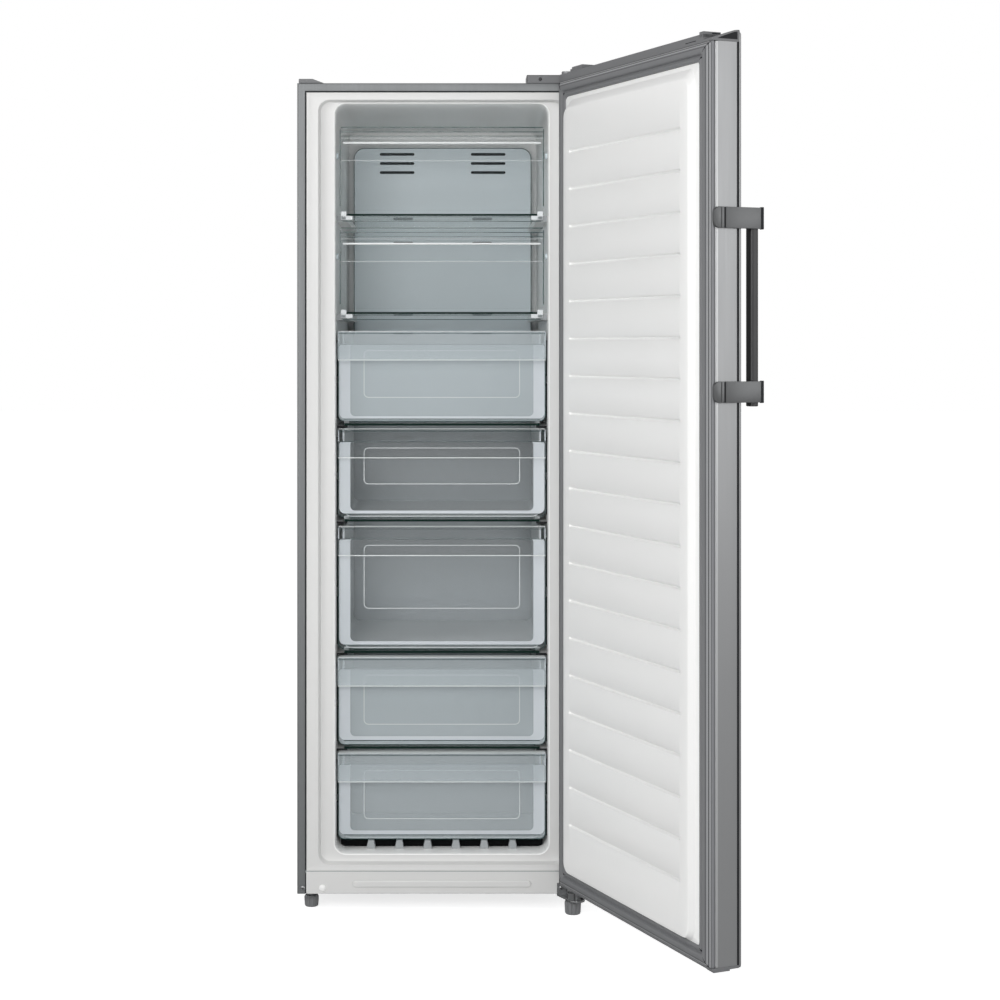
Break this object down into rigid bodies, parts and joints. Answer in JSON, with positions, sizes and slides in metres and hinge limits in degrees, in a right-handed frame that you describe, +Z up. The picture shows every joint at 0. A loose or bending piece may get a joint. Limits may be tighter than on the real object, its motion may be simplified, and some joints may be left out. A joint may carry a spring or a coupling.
{
  "type": "upright freezer",
  "caption": "Tall single-door freezer with drawers, flap compartments, a side-mounted bar handle and a compressor compartment at the rear.",
  "frame": {"origin": "on the floor, under the middle of the whole object's box as it stands with its door open", "axes": "+Z up; +X towards the hinge side as seen from the front; the cabinet's front faces -Y"},
  "size_m": [0.8728, 1.1734, 1.729],
  "materials": {
    "coated_steel": "satin grey",
    "dark_trim": "satin",
    "zinc_sheet": "satin",
    "white_plastic": "semi-gloss white",
    "foam": "matt",
    "gasket": "matt grey",
    "clear_plastic": "clear plastic",
    "shelf_glass": "clear",
    "black_plastic": "matt",
    "black_rubber": "matt",
    "copper_tube": "satin",
    "aluminium": "satin",
    "handle_metal": "satin dark grey",
    "bracket_metal": "satin grey",
    "black_metal": "semi-gloss black"
  },
  "bodies": {
    "cabinet": {"evaporator_cover": "white_plastic", "inner_liner": "white_plastic", "evaporator": "aluminium", "condenser": "copper_tube", "compartment_cover": "zinc_sheet", "compressor": "black_metal", "top_hinge_bracket": "bracket_metal", "fan_shroud": "black_plastic", "bottom_hinge_bracket": "bracket_metal", "insulation_foam": "foam", "kick_panel": "white_plastic", "cable_gland": "black_plastic", "roller_bracket_left": "zinc_sheet", "roller_bracket_right": "zinc_sheet", "base_plate": "zinc_sheet", "cabinet_wrap": "coated_steel", "top_hinge_cover": "dark_trim", "drip_pan": "black_plastic", "rear_panel": "zinc_sheet", "glass_shelf_1": "shelf_glass", "glass_shelf_2": "shelf_glass", "glass_shelf_3": "shelf_glass", "glass_shelf_4": "shelf_glass", "glass_shelf_5": "shelf_glass", "glass_shelf_6": "shelf_glass", "top_left_cap": "dark_trim"},
    "door": {"door_skin": "coated_steel", "door_foam": "foam", "door_liner": "white_plastic", "door_gasket": "gasket", "door_top_cap": "dark_trim", "door_bottom_cap": "dark_trim", "hinge_bush_top": "white_plastic", "hinge_bush_bottom": "white_plastic", "handle_bar": "handle_metal", "handle_bracket_top": "bracket_metal", "handle_bracket_bottom": "bracket_metal"},
    "flap_1": {"flap_1": "clear_plastic", "flap_grip_1": "white_plastic"},
    "flap_2": {"flap_2": "clear_plastic", "flap_grip_2": "white_plastic"},
    "drawer_1": {"drawer_box_1": "clear_plastic", "drawer_front_1": "clear_plastic"},
    "drawer_2": {"drawer_box_2": "clear_plastic", "drawer_front_2": "clear_plastic"},
    "drawer_3": {"drawer_box_3": "clear_plastic", "drawer_front_3": "clear_plastic"},
    "drawer_4": {"drawer_box_4": "clear_plastic", "drawer_front_4": "clear_plastic"},
    "drawer_5": {"drawer_box_5": "clear_plastic", "drawer_front_5": "clear_plastic"},
    "fan": {"fan_rotor": "white_plastic"},
    "foot_left": {"foot_left": "black_rubber"},
    "roller_left": {"roller_left": "black_rubber"},
    "foot_right": {"foot_right": "black_rubber"},
    "roller_right": {"roller_right": "black_rubber"}
  },
  "joints": [
    {"name": "door_hinge", "type": "hinge", "parent": "cabinet", "child": "door", "pos_m": [0.13661, -0.04429, 0.9], "axis": [0, 0, 1], "range_deg": [-113.5, 11.5]},
    {"name": "flap_1_hinge", "type": "hinge", "parent": "cabinet", "child": "flap_1", "pos_m": [-0.13889, 0.05671, 1.561], "axis": [-1, 0, 0], "range_deg": [0, 88]},
    {"name": "flap_2_hinge", "type": "hinge", "parent": "cabinet", "child": "flap_2", "pos_m": [-0.13889, 0.05671, 1.351], "axis": [-1, 0, 0], "range_deg": [0, 88]},
    {"name": "drawer_1_slide", "type": "slide", "parent": "cabinet", "child": "drawer_1", "axis": [0, -1, 0], "range_m": [0, 0.3]},
    {"name": "drawer_2_slide", "type": "slide", "parent": "cabinet", "child": "drawer_2", "axis": [0, -1, 0], "range_m": [0, 0.3]},
    {"name": "drawer_3_slide", "type": "slide", "parent": "cabinet", "child": "drawer_3", "axis": [0, -1, 0], "range_m": [0, 0.3]},
    {"name": "drawer_4_slide", "type": "slide", "parent": "cabinet", "child": "drawer_4", "axis": [0, -1, 0], "range_m": [0, 0.3]},
    {"name": "drawer_5_slide", "type": "slide", "parent": "cabinet", "child": "drawer_5", "axis": [0, -1, 0], "range_m": [0, 0.15]},
    {"name": "fan_spin", "type": "hinge", "parent": "cabinet", "child": "fan", "pos_m": [-0.13889, 0.48871, 1.3], "axis": [0, -1, 0], "continuous": true},
    {"name": "foot_left_turn", "type": "hinge", "parent": "cabinet", "child": "foot_left", "pos_m": [-0.40989, 0.03871, 0.01], "axis": [0, 0, 1], "continuous": true},
    {"name": "foot_right_turn", "type": "hinge", "parent": "cabinet", "child": "foot_right", "pos_m": [0.13011, -0.01729, 0.01], "axis": [0, 0, 1], "continuous": true},
    {"name": "roller_left_turn", "type": "hinge", "parent": "cabinet", "child": "roller_left", "pos_m": [-0.36889, 0.55271, 0.015], "axis": [1, 0, 0], "continuous": true},
    {"name": "roller_right_turn", "type": "hinge", "parent": "cabinet", "child": "roller_right", "pos_m": [0.09111, 0.55271, 0.015], "axis": [1, 0, 0], "continuous": true}
  ]
}
